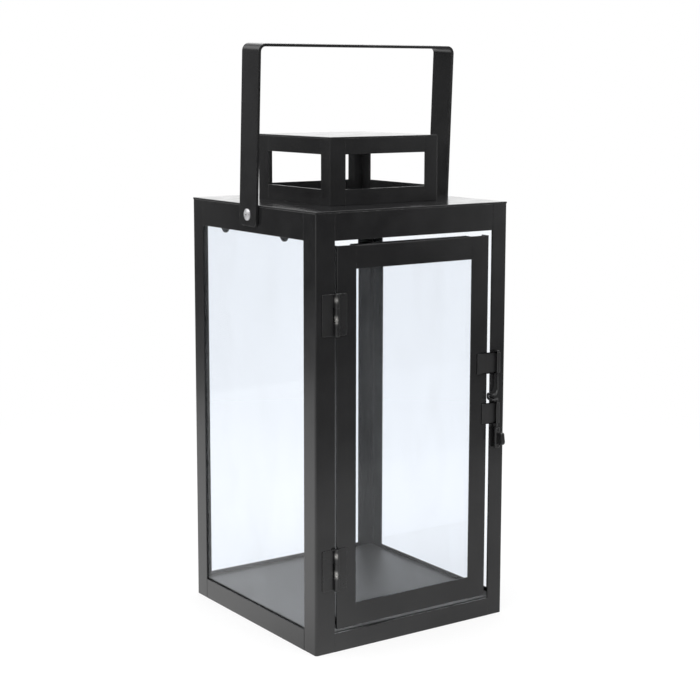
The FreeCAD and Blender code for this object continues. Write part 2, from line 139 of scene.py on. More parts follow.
def gridFaces(rows, count, closedEnds=True):
    # quads between the rows of a grid whose rows are closed loops, and a cap on its first and last row
    start = np.arange(rows - 1)[:, None] * count
    here = np.arange(count)[None]
    after = (here + 1) % count
    quads = np.stack([start + here, start + after, start + count + after, start + count + here], 2)
    faces = quads.reshape(-1, 4).tolist()
    if closedEnds:
        faces += [list(range(count))[::-1], list(range((rows - 1) * count, rows * count))]
    return faces


def softPrism(outline, low, high, soft, place, steps=3, rows=0):
    # an anticlockwise outline carried from low to high, with rows between; at both ends it draws in along
    # its own normals over a quarter circle of radius soft; place turns (across, up, along) into x, y and z
    a = np.linspace(0, math.pi / 2, steps + 1)
    inset = soft * (1 - np.sin(a))
    rise = soft * (1 - np.cos(a))
    inset = np.concatenate([inset, np.zeros(rows), inset[::-1]])
    between = np.linspace(low + soft, high - soft, rows + 2)[1:-1]
    height = np.concatenate([low + rise, between, (high - rise)[::-1]])
    way = np.roll(outline, -1, 0) - np.roll(outline, 1, 0)
    outward = np.stack([way[:, 1], -way[:, 0]], 1) / np.linalg.norm(way, axis=1)[:, None]
    flat = outline[None] - outward[None] * inset[:, None, None]
    along = np.broadcast_to(height[:, None], flat.shape[:2])
    points = place(flat[..., 0], flat[..., 1], along)
    return points.reshape(-1, 3), gridFaces(len(height), len(outline))


def turned(profile, place, sides=40, dents=None):
    # a profile of (radius, height) spun round; dents adds a small height that depends on radius and angle
    t = np.linspace(0, 2 * math.pi, sides, endpoint=False)[None]
    radius, height = profile[:, :1], profile[:, 1:]
    if dents is not None:
        height = height + dents(radius, t)
    points = place(radius * np.cos(t), radius * np.sin(t), np.broadcast_to(height, (len(profile), sides)))
    return points.reshape(-1, 3), gridFaces(len(profile), sides, False)


def tube(path, radius, reference, sides=20):
    # circles square to a path; each circle's first radius is square to one fixed direction, which the
    # path never takes
    way = np.gradient(path, axis=0)
    way /= np.linalg.norm(way, axis=1)[:, None]
    first = np.cross(way, reference)
    first /= np.linalg.norm(first, axis=1)[:, None]
    second = np.cross(way, first)
    t = np.linspace(0, 2 * math.pi, sides, endpoint=False)[None, :, None]
    points = path[:, None] + radius * (first[:, None] * np.cos(t) + second[:, None] * np.sin(t))
    return points.reshape(-1, 3), gridFaces(len(path), sides)


def upright(x, y):
    # sections that lie level and are carried upwards from a point
    return lambda across, up, along: np.stack([x + across, y + up, along], -1)


def boxMm(name):
    low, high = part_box(name)
    return np.array(low) / mm, np.array(high) / mm


def addPiece(name, shapes, material, body, replaced, rub=None):
    # joins closed shapes to one piece, in metres; rub gives each point's share of worn paint
    points = np.vstack([shape[0] for shape in shapes])
    faces, start = [], 0
    for shapePoints, shapeFaces in shapes:
        faces += [[i + start for i in face] for face in shapeFaces]
        start += len(shapePoints)
    mesh = bpy.data.meshes.new(name)
    mesh.from_pydata((points * mm).tolist(), [], faces)
    if rub is not None:
        worn = mesh.attributes.new("rub", "FLOAT", "POINT")
        worn.data.foreach_set("value", rub(points).astype(np.float32))
    work = bmesh.new()
    work.from_mesh(mesh)
    bmesh.ops.remove_doubles(work, verts=work.verts, dist=1e-7)
    bmesh.ops.recalc_face_normals(work, faces=work.faces)
    for face in work.faces:
        face.smooth = True
    work.to_mesh(mesh)
    work.free()
    mesh.materials.append(material)
    piece = bpy.data.objects.new(name, mesh)
    bpy.context.scene.collection.objects.link(piece)
    piece.modifiers.new("flatFacesStayFlat", "WEIGHTED_NORMAL").keep_sharp = True
    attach(piece, body)
    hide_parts(*replaced)
    return piece


# Camera, fitted to the body's visible edges

cameraValues = {
    "placeMm": (-590.64, -850.91, 354.44),
    "azimuth": -33.845,
    "elevation": 8.233,
    "roll": -0.048,
    "lens": 80.29,
    "sensorMm": 36,
    "shift": (0.04, -0.06),
    "clip": (0.05, 50),
}


def buildCamera(v):
    a, e, r = (math.radians(v[k]) for k in ("azimuth", "elevation", "roll"))
    back = Vector((math.sin(a) * math.cos(e), -math.cos(a) * math.cos(e), math.sin(e)))
    right = (-back).cross(Vector((0, 0, 1))).normalized()
    up = right.cross(-back)
    turnedRight = right * math.cos(r) + up * math.sin(r)
    turnedUp = up * math.cos(r) - right * math.sin(r)
    data = bpy.data.cameras.new("camera")
    data.sensor_width = v["sensorMm"]
    data.lens = v["lens"]
    data.shift_x, data.shift_y = v["shift"]
    data.clip_start, data.clip_end = v["clip"]
    camera = bpy.data.objects.new("camera", data)
    bpy.context.scene.collection.objects.link(camera)
    turn = Matrix((turnedRight, turnedUp, back)).transposed()
    camera.matrix_world = Matrix.Translation(Vector(v["placeMm"]) * mm) @ turn.to_4x4()
    bpy.context.scene.camera = camera


buildCamera(cameraValues)
print("camera made")


# Studio: a white table and backdrop; what gloss shows of them fades into a dark room,
# and on the table it is a painted pool of light that glows for reflections only

studioValues = {
    "cards": (
        {"name": "sweepBehind", "way": (0.56, 0.83, 0.06), "strength": 1.42, "reach": (0.72, 0.95)},
        {"name": "cardRight", "way": (0.77, -0.64, 0.0), "strength": 0.32, "reach": (0.972, 0.984)},
        {"name": "cardLeft", "way": (-0.17, 0.98, 0.0), "strength": 0.22, "reach": (0.918, 0.955)},
        {"name": "cardAtCamera", "way": (-0.83, -0.56, 0.1), "strength": 0.7, "reach": (0.93, 1.0)},
        {"name": "cardHighLeft", "way": (-0.45, 0.6, 0.66), "strength": 1.1, "reach": (0.87, 0.95)},
        {"name": "ceiling", "way": (0.45, 0.1, 0.9), "strength": 0.8, "reach": (0.7, 0.9)},
    ),
    "roomStrength": 0.12,
    "throughGlass": 1.1,
    "studioLight": 0.8,
    "tableRings": 24,
    "tableSides": 64,
    "tableReach": (0.1, 6.0),
    # the levels, side factor and edges below shape a painted pool of light that the table shows only to
    # reflections
    "tableLevels": ((0.0, 1.0), (0.3, 0.97), (0.5, 0.88), (0.8, 0.68), (1.6, 0.26), (2.6, 0.12),
                    (4.0, 0.08)),
    "tableEdges": (-0.46, 0.69),
    "tableEdgeSoft": 0.01,
    "tableBeyond": 0.5,
    "tableFar": 0.035,
    "paintedPoolBySide": (0.42, 1.0),
    "tableFarSide": (-0.557, 0.83, 0.0),
    "tableFade": (1.2, 2.2),
    "tableAlbedo": 0.55,
    "shadowShare": 0.25,
    "shadowAlbedo": 0.95,
    "shadowReach": (0.2, 0.7),
    "lamps": (
        {"name": "softboxTop", "place": (-0.12, -0.15, 1.7), "aim": (0, 0, 0.1), "size": 1.6, "power": 24},
        {"name": "softboxLeft", "place": (-1.5, 0.7, 0.9), "aim": (-0.2, 0.2, 0), "size": 0.9, "power": 3},
    ),
}


def rayShares(tree, v):
    # seen: camera, glossy and transmitted rays; mirrored: those that met a glossy surface on their way;
    # white: the strength of what is seen directly, a little overexposed behind glass, as in the photo
    path = addNode(tree, "LightPath").outputs
    direct = maths(tree, "MAXIMUM", path["Is Camera Ray"], path["Is Transmission Ray"])
    seen = maths(tree, "MAXIMUM", direct, path["Is Glossy Ray"])
    white = mapped(tree, path["Is Transmission Ray"], 1.0, v["throughGlass"])
    return seen, maths(tree, "MINIMUM", path["Glossy Depth"], 1.0), white


def surroundings(tree, direction, v, plain):
    # the brightest of some soft white cards, each round its own direction, over a plain level
    level = None
    for card in v["cards"]:
        aim = Vector(card["way"]).normalized()
        near = addNode(tree, "VectorMath", {0: direction, 1: aim}, operation="DOT_PRODUCT").outputs["Value"]
        patch = mapped(tree, near, plain, card["strength"], *card["reach"], True)
        level = patch if level is None else maths(tree, "MAXIMUM", level, patch)
    return level


def buildWorld(v):
    world = bpy.data.worlds.new("studio")
    bpy.context.scene.world = world
    tree = newTree(world)
    seen, mirrored, backdrop = rayShares(tree, v)
    direction = addNode(tree, "TexCoord").outputs["Generated"]
    strength = mapped(tree, mirrored, backdrop, surroundings(tree, direction, v, v["roomStrength"]))
    white = addNode(tree, "Background", {"Color": (1, 1, 1, 1), "Strength": strength}).outputs[0]
    light = addNode(tree, "Background", {"Color": (1, 1, 1, 1), "Strength": v["studioLight"]}).outputs[0]
    mix = addNode(tree, "MixShader", {0: seen, 1: light, 2: white}).outputs[0]
    addNode(tree, "OutputWorld", {"Surface": mix})


def buildFloor(v):
    # a flat round table top, in rings that widen outwards
    sides = v["tableSides"]
    radii = np.geomspace(*v["tableReach"], v["tableRings"])
    turns = np.linspace(0, 2 * math.pi, sides, endpoint=False)
    points = [(0.0, 0.0, 0.0)]
    points += [(r * math.cos(t), r * math.sin(t), 0.0) for r in radii for t in turns]
    faces = [(0, 1 + i, 1 + (i + 1) % sides) for i in range(sides)]
    for ring in range(len(radii) - 1):
        a, b = 1 + ring * sides, 1 + (ring + 1) * sides
        faces += [(a + i, b + i, b + (i + 1) % sides, a + (i + 1) % sides) for i in range(sides)]
    mesh = bpy.data.meshes.new("floor")
    mesh.from_pydata(points, [], faces)
    floor = bpy.data.objects.new("floor", mesh)
    bpy.context.scene.collection.objects.link(floor)
    material = bpy.data.materials.new("whiteTable")
    tree = newTree(material)
    seen, mirrored, backdrop = rayShares(tree, v)
    place = addNode(tree, "TexCoord").outputs["Object"]
    far = addNode(tree, "VectorMath", {0: place}, operation="LENGTH").outputs["Value"]
    reach = v["tableLevels"][-1][0]
    # painted light: for glossy rays the table glows with a painted pool of light, bright near the lantern,
    # fading with distance, stronger towards its left rear side and dimmer past two edges
    ramp = addNode(tree, "ValToRGB", {"Fac": mapped(tree, far, 0.0, 1.0, 0.0, reach)})
    stops = ramp.color_ramp.elements
    for distance, level in v["tableLevels"][1:-1]:
        stops.new(distance / reach)
    for stop, (distance, level) in zip(stops, v["tableLevels"]):
        stop.position = distance / reach
        stop.color = (level, level, level, 1)
    aim = Vector(v["tableFarSide"]).normalized()
    way = addNode(tree, "VectorMath", {0: place}, operation="NORMALIZE").outputs["Vector"]
    facing = addNode(tree, "VectorMath", {0: way, 1: aim}, operation="DOT_PRODUCT").outputs["Value"]
    toFarSide = mapped(tree, facing, *v["paintedPoolBySide"], -1.0, 1.0)
    paintedPool = maths(tree, "MULTIPLY", ramp.outputs["Color"], toFarSide)
    across = addNode(tree, "SeparateXYZ", {"Vector": place}).outputs["Y"]
    for edge in v["tableEdges"]:
        outwards = math.copysign(v["tableEdgeSoft"], edge)
        inside = mapped(tree, across, 1.0, v["tableBeyond"], edge - outwards, edge + outwards)
        paintedPool = maths(tree, "MULTIPLY", paintedPool, inside)
    distant = mapped(tree, far, 0.0, 1.0, *v["tableFade"], True)
    paintedPool = mapped(tree, distant, paintedPool, surroundings(tree, way, v, v["tableFar"]))
    lit, shaded = (addNode(tree, "BsdfDiffuse", {"Color": (v[k],) * 3 + (1,)}).outputs[0]
                   for k in ("tableAlbedo", "shadowAlbedo"))
    white = addNode(tree, "Emission", {"Strength": backdrop}).outputs[0]
    share = mapped(tree, far, v["shadowShare"], 0.0, *v["shadowReach"], True)
    plain = addNode(tree, "MixShader", {0: share, 1: white, 2: shaded}).outputs[0]
    gloss = addNode(tree, "Emission", {"Strength": paintedPool}).outputs[0]
    shown = addNode(tree, "MixShader", {0: mirrored, 1: plain, 2: gloss}).outputs[0]
    mix = addNode(tree, "MixShader", {0: seen, 1: lit, 2: shown}).outputs[0]
    addNode(tree, "OutputMaterial", {"Surface": mix})
    mesh.materials.append(material)


def buildLamps(v):
    for lamp in v["lamps"]:
        data = bpy.data.lights.new(lamp["name"], "AREA")
        data.shape = "SQUARE"
        data.size = lamp["size"]
        data.energy = lamp["power"]
        made = bpy.data.objects.new(lamp["name"], data)
        bpy.context.scene.collection.objects.link(made)
        made.location = lamp["place"]
        aim = Vector(lamp["aim"]) - Vector(lamp["place"])
        made.rotation_euler = aim.to_track_quat("-Z", "Y").to_euler()
        made.visible_camera = False


buildWorld(studioValues)
buildFloor(studioValues)
buildLamps(studioValues)
bpy.context.scene.view_settings.view_transform = "Standard"
print("studio made")


# Materials

middleBand = (0.35, 0.65)  # most of a noise's values lie between these
# painted light: inside is a paler tone on faces that look in, for the light the lantern's inside lacks
enamelValues = {
    "dark": "#1b1b1c", "light": "#222223", "inside": "#1f1f20", "paintedInsideLightFromMm": (-20.0, -10.0),
    "patchMm": 22.0, "roughness": (0.15, 0.21), "roughPatch": 0.6, "waveMm": 40.0, "waveDepthMm": 0.05,
    "peelMm": 1.6, "peelDepthMm": 0.0025,
    "edgeMm": 0.5, "edgeTurn": (0.75, 0.98), "worn": "#4f4f4e", "wornPatchMm": 5.0, "wornFrom": 0.45,
    "wornSoft": 0.2, "wornRoughness": 0.15,
    "rubbed": "#e2e0dc", "rubMm": 1.2, "rubLeast": 0.35, "rubBand": (0.35, 0.6),
    "speckMm": 34.0, "speckSizeMm": 0.35, "speckCore": 0.4, "speckStrength": 0.8, "speck": "#5c5c5a",
}
# the rails' and cap's inside tones are painted light, much paler than their enamel, for light the inside
# lacks
railFinish = {**enamelValues, "inside": "#858687", "seamMm": 0.5, "seam": "#050505"}
capFinish = {**enamelValues, "inside": "#474748", "worn": "#3a3a3a"}
# painted reflection: the floor pan's mid-grey is far paler than the dark enamel elsewhere, standing in for
# the bright surroundings that the pan reflects at grazing angles
floorValues = {**enamelValues, "dark": "#474644", "light": "#555452", "roughness": (0.42, 0.5),
               "patchMm": 70.0, "waveMm": 90.0, "peelDepthMm": 0.0008, "speckMm": 14.0}
hingeFinish = {**enamelValues, "roughness": (0.26, 0.38), "wornFrom": 0.3, "worn": "#6a6a69"}
latchFinish = {**enamelValues, "dark": "#222223", "light": "#29292a", "roughness": (0.3, 0.42),
               "wornFrom": 0.3, "worn": "#5f5f5e"}
strapFinish = {**enamelValues, "roughness": (0.18, 0.25), "waveMm": 60.0}
# edge, edgeMm and the core share give the painted shade line at the foot of the side panes
glassValues = {"tint": "#f8fbff", "waveMm": 60.0, "waveDepthMm": 0.01, "smearMm": 26.0, "stretch": 0.35,
               "smear": (0.0, 0.03), "smearBand": (0.5, 0.8), "dust": (0.02, 0.04), "dustBand": (0.4, 0.7),
               "coating": "#909090", "edgeMm": 1.0, "shadeLineCore": 0.6, "edge": "#2c2c2c"}
doorGlassValues = {**glassValues, "coating": "#ffffff"}
rivetFinish = {"metal": "#e6e6e8", "dull": "#d2d2d4", "metalInOxide": 0.2, "roughness": (0.22, 0.6),
               "grainMm": 0.9, "dentMm": 1.1, "dentDepthMm": 0.2}


def satinEnamel(name, v, seams=None):
    # satin stoving enamel sprayed on sheet steel: a smooth dark film with faint orange peel and the slow
    # waves of the sheet, patches a shade duller, paler where edges are rubbed, a few specks of dust in the
    # paint, and painted light on faces that look in, to the lantern's middle: a paler tone for the light
    # the inside lacks; seams, an axis and its two ends in mm, gives the dark joint line at a rail's ends
    material = bpy.data.materials.new(name)
    tree = newTree(material)
    place = addNode(tree, "TexCoord").outputs["Object"]
    cloud = noiseOf(tree, place, v["patchMm"], detail=3.0)
    film = blended(tree, mapped(tree, cloud, 0.0, 1.0, *middleBand), colour(v["dark"]), colour(v["light"]))
    soft = addNode(tree, "Bevel", {"Radius": v["edgeMm"] * mm}, samples=6).outputs[0]
    normal = addNode(tree, "NewGeometry").outputs["Normal"]
    # painted light: faces that look in, towards the middle, get the paler inside tone
    level = addNode(tree, "VectorMath", {0: place, 1: (1, 1, 0)}, operation="MULTIPLY").outputs["Vector"]
    outwards = addNode(tree, "VectorMath", {0: level, 1: normal}, operation="DOT_PRODUCT").outputs["Value"]
    paintedInsideLight = mapped(tree, outwards, 1.0, 0.0, *(reach * mm for reach in v["paintedInsideLightFromMm"]))
    film = blended(tree, paintedInsideLight, film, colour(v["inside"]))
    bend = addNode(tree, "VectorMath", {0: soft, 1: normal}, operation="DOT_PRODUCT").outputs["Value"]
    edge = mapped(tree, bend, 1.0, 0.0, *v["edgeTurn"])
    wornCloud = noiseOf(tree, place, v["wornPatchMm"], detail=4.0, roughness=0.6)
    patch = mapped(tree, wornCloud, 0.0, 1.0, v["wornFrom"], v["wornFrom"] + v["wornSoft"])
    wornShare = maths(tree, "MULTIPLY", edge, patch)
    rub = addNode(tree, "Attribute", attribute_name="rub").outputs["Fac"]
    rubPatch = mapped(tree, noiseOf(tree, place, v["rubMm"]), v["rubLeast"], 1.0, *v["rubBand"])
    rubShare = maths(tree, "MULTIPLY", rub, rubPatch, True)
    cell = addNode(tree, "TexVoronoi", {"Vector": place, "Scale": 1 / (v["speckMm"] * mm)})
    speckReach = v["speckSizeMm"] / v["speckMm"]
    nearSpeck = mapped(tree, cell.outputs["Distance"], v["speckStrength"], 0.0, v["speckCore"] * speckReach,
                       speckReach)
    tone = blended(tree, wornShare, film, colour(v["worn"]))
    tone = blended(tree, nearSpeck, tone, colour(v["speck"]))
    gloss = 1.0
    if seams is not None:
        middle, half = (seams[1] + seams[2]) / 2, (seams[2] - seams[1]) / 2
        along = addNode(tree, "SeparateXYZ", {"Vector": place}).outputs[seams[0]]
        fromMiddle = maths(tree, "ABSOLUTE", maths(tree, "SUBTRACT", along, middle * mm), 0.0)
        reach = (half - v["seamMm"], half - v["seamMm"] / 2)
        seam = mapped(tree, fromMiddle, 0.0, 1.0, reach[0] * mm, reach[1] * mm)
        tone = blended(tree, seam, tone, colour(v["seam"]))
        gloss = mapped(tree, seam, 1.0, 0.0)
    tone = blended(tree, rubShare, tone, colour(v["rubbed"]))
    roughCloud = noiseOf(tree, place, v["patchMm"] * v["roughPatch"], detail=4.0)
    rough = mapped(tree, roughCloud, *v["roughness"], *middleBand)
    rough = maths(tree, "ADD", rough, mapped(tree, wornShare, 0.0, v["wornRoughness"]))
    wave = noiseOf(tree, place, v["waveMm"], detail=0.0)
    peel = noiseOf(tree, place, v["peelMm"], detail=1.0)
    broad = addNode(tree, "Bump", {"Height": wave, "Strength": 1.0, "Distance": v["waveDepthMm"] * mm,
                                   "Normal": soft}).outputs[0]
    fine = addNode(tree, "Bump", {"Height": peel, "Strength": 1.0, "Distance": v["peelDepthMm"] * mm,
                                  "Normal": broad}).outputs[0]
    shader = addNode(tree, "BsdfPrincipled", {
        "Base Color": tone, "Roughness": rough, "Normal": fine, "IOR": 1.5, "Specular IOR Level": gloss,
        "Metallic": rubShare})
    addNode(tree, "OutputMaterial", {"Surface": shader.outputs[0]})
    return material


def floatGlass(name, v, rimMm=None):
    # clear 2 mm float glass: nearly colourless, a trace of a wave, faint dry smears that dull the gloss, a
    # thin film of dust that veils what is dark behind it, and painted shade: a dark line where the pane
    # goes down behind a rail whose top is at rimMm, in place of the shadow in the gap there
    material = bpy.data.materials.new(name)
    tree = newTree(material)
    place = addNode(tree, "TexCoord").outputs["Object"]
    stretched = addNode(tree, "Mapping", {"Vector": place, "Scale": (1.0, 1.0, v["stretch"])}).outputs[0]
    cloud = noiseOf(tree, stretched, v["smearMm"], detail=5.0, roughness=0.6)
    smear = mapped(tree, cloud, *v["smear"], *v["smearBand"], True)
    clear = mapped(tree, cloud, 1 - v["dust"][0], 1 - v["dust"][1], *v["dustBand"], True)
    wave = noiseOf(tree, place, v["waveMm"], detail=1.0)
    bump = addNode(tree, "Bump", {"Height": wave, "Strength": 1.0,
                                  "Distance": v["waveDepthMm"] * mm}).outputs[0]
    tint = colour(v["tint"])
    # painted shade: the tint turns dark just above the rail's top, for the shadowed gap between pane and
    # rail
    if rimMm is not None:
        height = addNode(tree, "SeparateXYZ", {"Vector": place}).outputs["Z"]
        core = rimMm + v["edgeMm"] * v["shadeLineCore"]
        rim = mapped(tree, height, 1.0, 0.0, core * mm, (rimMm + v["edgeMm"]) * mm)
        tint = blended(tree, rim, tint, colour(v["edge"]))
    shader = addNode(tree, "BsdfPrincipled", {
        "Base Color": tint, "Roughness": smear, "IOR": 1.45, "Transmission Weight": clear,
        "Specular Tint": colour(v["coating"]), "Normal": bump})
    addNode(tree, "OutputMaterial", {"Surface": shader.outputs[0]})
    return material


def bareAluminium(name, v):
    # a bare aluminium rivet: bright, hammered to a dome, with shallow dents and dull patches of oxide
    material = bpy.data.materials.new(name)
    tree = newTree(material)
    place = addNode(tree, "TexCoord").outputs["Object"]
    grain = mapped(tree, noiseOf(tree, place, v["grainMm"], detail=3.0), 0.0, 1.0, *middleBand)
    metal = blended(tree, grain, colour(v["metal"]), colour(v["dull"]))
    rough = mapped(tree, grain, *v["roughness"])
    bright = mapped(tree, grain, 1.0, v["metalInOxide"])
    dents = noiseOf(tree, place, v["dentMm"], detail=1.0)
    bump = addNode(tree, "Bump", {"Height": dents, "Strength": 1.0,
                                  "Distance": v["dentDepthMm"] * mm}).outputs[0]
    shader = addNode(tree, "BsdfPrincipled", {"Base Color": metal, "Metallic": bright, "Roughness": rough,
                                              "Normal": bump})
    addNode(tree, "OutputMaterial", {"Surface": shader.outputs[0]})
    return material


enamel = satinEnamel("satinEnamelOnSheetSteel", enamelValues)
capEnamel = satinEnamel("satinEnamelOnCap", capFinish)
railEnamels = {}
for railName, railAxis in (("left", 1), ("right", 1), ("rear", 0)):
    low, high = boxMm("base_rail_" + railName)
    railSeams = ("XYZ"[railAxis], low[railAxis], high[railAxis])
    railMaterial = satinEnamel("satinEnamelOnBaseRail_" + railName, railFinish, railSeams)
    railEnamels["base_rail_" + railName] = railMaterial
floorEnamel = satinEnamel("floorPanEnamelWithPaintedReflection", floorValues)
hingeEnamel = satinEnamel("rubbedEnamelOnHinges", hingeFinish)
latchEnamel = satinEnamel("rubbedEnamelOnLatch", latchFinish)
strapEnamel = satinEnamel("satinEnamelOnStrap", strapFinish)
glass = floatGlass("clearFloatGlass", glassValues, boxMm("base_rail_left")[1][2])
doorGlass = floatGlass("clearFloatGlassOfDoor", doorGlassValues)
rivetMetal = bareAluminium("hammeredAluminium", rivetFinish)

for name, node in nodes.items():
    node.data.materials.clear()
    if name in ("pane_left", "pane_right", "pane_rear"):
        node.data.materials.append(glass)
    elif name == "door_pane":
        node.data.materials.append(doorGlass)
    elif name == "floor_pan":
        node.data.materials.append(floorEnamel)
    elif name == "handle_strap":
        node.data.materials.append(strapEnamel)
    elif name.startswith("cap_"):
        node.data.materials.append(capEnamel)
    elif name in railEnamels:
        node.data.materials.append(railEnamels[name])
    else:
        node.data.materials.append(enamel)
print("materials made")


# Folded angles: corner posts, cap posts and the door's members, with a real bend radius and soft cut edges

angleValues = {
    "post": {"sheet": 1.0, "fold": 1.7, "soft": 0.15, "foldSteps": 8},
    "capPost": {"sheet": 1.0, "fold": 0.7, "soft": 0.15, "foldSteps": 8},
    "door": {"sheet": 0.8, "fold": 1.1, "soft": 0.12, "foldSteps": 8},
}


def foldedAngle(node, v, run, ways, body, material):
    # an L section in the plane square to axis run; its corner is the box's low end on the axes whose way is
    # +1 and its high end on those whose way is -1
    low, high = boxMm(node)
    first, second = [axis for axis in range(3) if axis != run]
    size = high - low
    middle = v["sheet"] / 2
    corners = [(size[first], middle), (middle, middle), (middle, size[second])]
    path = rounded(corners, [v["fold"] - middle], v["foldSteps"])
    outline = sheetOutline(path, v["sheet"], v["soft"])

    def place(across, up, along):
        spots = [None, None, None]
        spots[run] = along
        for axis, value, way in ((first, across, ways[0]), (second, up, ways[1])):
            spots[axis] = low[axis] + value if way > 0 else high[axis] - value
        return np.stack(spots, -1)
    shape = softPrism(outline, low[run], high[run], v["soft"], place)
    addPiece(node + "_folded", [shape], material, body, [node])


for sideName, wayX in (("left", 1), ("right", -1)):
    for endName, wayY in (("front", 1), ("rear", -1)):
        corner = endName + "_" + sideName
        foldedAngle("post_" + corner, angleValues["post"], 2, (wayX, wayY), "frame", enamel)
        foldedAngle("cap_post_" + corner, angleValues["capPost"], 2, (wayX, wayY), "frame", capEnamel)
foldedAngle("door_stile_hinge", angleValues["door"], 2, (1, 1), "door", enamel)
foldedAngle("door_stile_latch", angleValues["door"], 2, (-1, 1), "door", enamel)
foldedAngle("door_rail_top", angleValues["door"], 0, (1, -1), "door", enamel)
foldedAngle("door_rail_bottom", angleValues["door"], 0, (1, 1), "door", enamel)
print("angles made")


# Butt hinges: two leaves of thin sheet, each rolled round the pin into its own knuckles

hingeValues = {
    "sheet": 0.6, "knuckle": 1.75, "rolledSheet": 0.588, "slit": 0.12, "lead": 0.3, "gap": 0.2,
    "relief": 0.35, "corner": 1.0, "notch": 0.4, "soft": 0.14, "rollSteps": 30, "rows": 14,
    "pin": 1.0, "pinHead": 1.45, "pinHeadHeight": 0.4, "pinBends": (0.3, 0.06, 0.05), "pinSides": 32,
    "rubbedShares": (0.36, 0.42, 0.86), "rubbedSpread": 1.2, "rubbedWay": (-0.9, -0.43), "rubbedFrom": 0.55,
    "rubbedRise": 4.0, "onKnuckle": 1.02,
}
doorJoint = next(j for j in frame["joints"] if j["name"] == "door_swing")
hingeX, hingeY = (c / mm for c in doorJoint["pos_m"][:2])


def knuckleShape(v, way, low, high):
    # the sheet's middle line comes in along the face, then goes round the pin until it nearly meets itself;
    # its sheet is a trace thinner than the leaf, so that no two faces coincide
    middle = v["knuckle"] - v["sheet"] / 2
    stop = 2 * math.pi + math.asin((v["knuckle"] - v["sheet"] - v["slit"]) / v["knuckle"])
    a = np.linspace(math.pi / 2, stop, v["rollSteps"])
    arc = middle * np.stack([np.cos(a), np.sin(a)], 1)
    path = np.vstack([[(v["lead"], middle)], arc])
    outline = sheetOutline(path, v["rolledSheet"], v["soft"])

    def place(across, up, along):
        return np.stack([hingeX + way * across, hingeY + up, along], -1)
    return softPrism(outline, low, high, v["soft"], place, rows=v["rows"])


def hingeLeaf(name, v, way, own, body):
    # own lists the thirds of the length whose knuckles belong to this leaf; it is notched at the others
    low, high = boxMm(name)
    length = high[2] - low[2]
    width = max(high[0] - hingeX, hingeX - low[0])
    share = length / 3
    spans = []
    for index in own:
        start = index * share + (v["gap"] / 2 if index > 0 else 0)
        end = (index + 1) * share - (v["gap"] / 2 if index < 2 else 0)
        spans.append((start, end))
    notch = v["knuckle"] + v["relief"]
    corners = [(width, 0.0), (width, length)]
    for start, end in spans[::-1]:
        corners += [(notch, end), (0.0, end), (0.0, start), (notch, start)]
    corner, soft, bend = v["corner"], v["soft"], v["notch"]
    if own == (0, 2):
        corners = [c for c in corners if c not in ((notch, length), (notch, 0.0))]
        radii = [corner, corner, soft, soft, bend, bend, soft, soft]
    else:
        corners = corners[:2] + [(notch, length)] + corners[2:] + [(notch, 0.0)]
        radii = [corner, corner, soft, bend, soft, soft, bend, soft]
    outline = closedRounded(corners, radii, steps=4)
    face = v["knuckle"]

    def place(across, up, along):
        return np.stack([hingeX + way * across, hingeY + along, low[2] + up], -1)
    shapes = [softPrism(outline, face - v["sheet"], face, v["soft"], place)]
    shapes += [knuckleShape(v, way, low[2] + start, low[2] + end) for start, end in spans]

    def rub(points):
        # strongest on the knuckle's left front, near the places where the two leaves rub
        fromPin = points[:, :2] - (hingeX, hingeY)
        onKnuckle = np.linalg.norm(fromPin, axis=1) < v["knuckle"] * v["onKnuckle"]
        across = fromPin @ v["rubbedWay"] / v["knuckle"]
        front = np.clip((across - v["rubbedFrom"]) * v["rubbedRise"], 0, 1) * onKnuckle
        height = points[:, 2] - low[2]
        near = sum(np.exp(-((height - s * length) / v["rubbedSpread"]) ** 2) for s in v["rubbedShares"])
        return front * np.clip(near, 0, 1)
    addPiece(name + "_rolled", shapes, hingeEnamel, body, [name], rub)


def hingePin(name, v):
    low, high = boxMm(name)
    pin, head, foot, top = v["pin"], v["pinHead"], low[2] + v["pinHeadHeight"], high[2] - v["pinHeadHeight"]
    corners = [(0, low[2]), (head, low[2]), (head, foot), (pin, foot),
               (pin, top), (head, top), (head, high[2]), (0, high[2])]
    profile = rounded(corners, v["pinBends"] + v["pinBends"][::-1], steps=4)
    shape = turned(profile, upright(hingeX, hingeY), v["pinSides"])
    addPiece(name + "_headed", [shape], hingeEnamel, "frame", [name])


for levelName in ("upper", "lower"):
    hingeLeaf("hinge_post_leaf_" + levelName, hingeValues, -1, (0, 2), "frame")
    hingeLeaf("hinge_door_leaf_" + levelName, hingeValues, 1, (1,), "door")
    hingePin("hinge_pin_" + levelName, hingeValues)
print("hinges made")


# Latch: two leaves rolled into barrels, and a bent wire with a thumb piece

latchValues = {
    "sheet": 0.8, "barrel": 1.6, "jog": 1.2, "standoff": 0.7, "slit": 0.15, "soft": 0.36, "jogBend": 0.8,
    "rollSteps": 28,
    "wire": 0.75, "wireSquare": (0.75, -0.25, 0.6), "wireBelowTop": 0.1,
    "collar": 1.2, "collarHeight": 0.8, "collarBends": (0.12, 0.3), "collarSides": 32,
    "armBend": 4.2, "footRun": 2.7, "tongueRise": 3.4, "startAngle": 200.0, "endAngle": 160.0,
    "lead": 1.1, "leadBend": 0.85, "tipRun": 1.3, "tipBend": 1.25, "footBend": 1.2,
    "sleeve": 2.0, "sleeveBends": (0.5, 0.5, 0.1, 0.02), "sleeveFloor": 1.0, "sleevePlay": 0.02,
    "sleeveSides": 36,
    "leverWidth": 2.8, "leverNose": 2.2, "leverReach": 7.2, "leverShoulder": 5.9, "leverLow": 2.6,
    "leverHigh": 10.8, "leverRoot": 1.2, "leverRootBend": 0.1, "leverTopBend": 1.2, "leverSoft": 0.6,
}
latchJoint = next(j for j in frame["joints"] if j["name"] == "latch_turn")
latchX, latchY = (c / mm for c in latchJoint["pos_m"][:2])


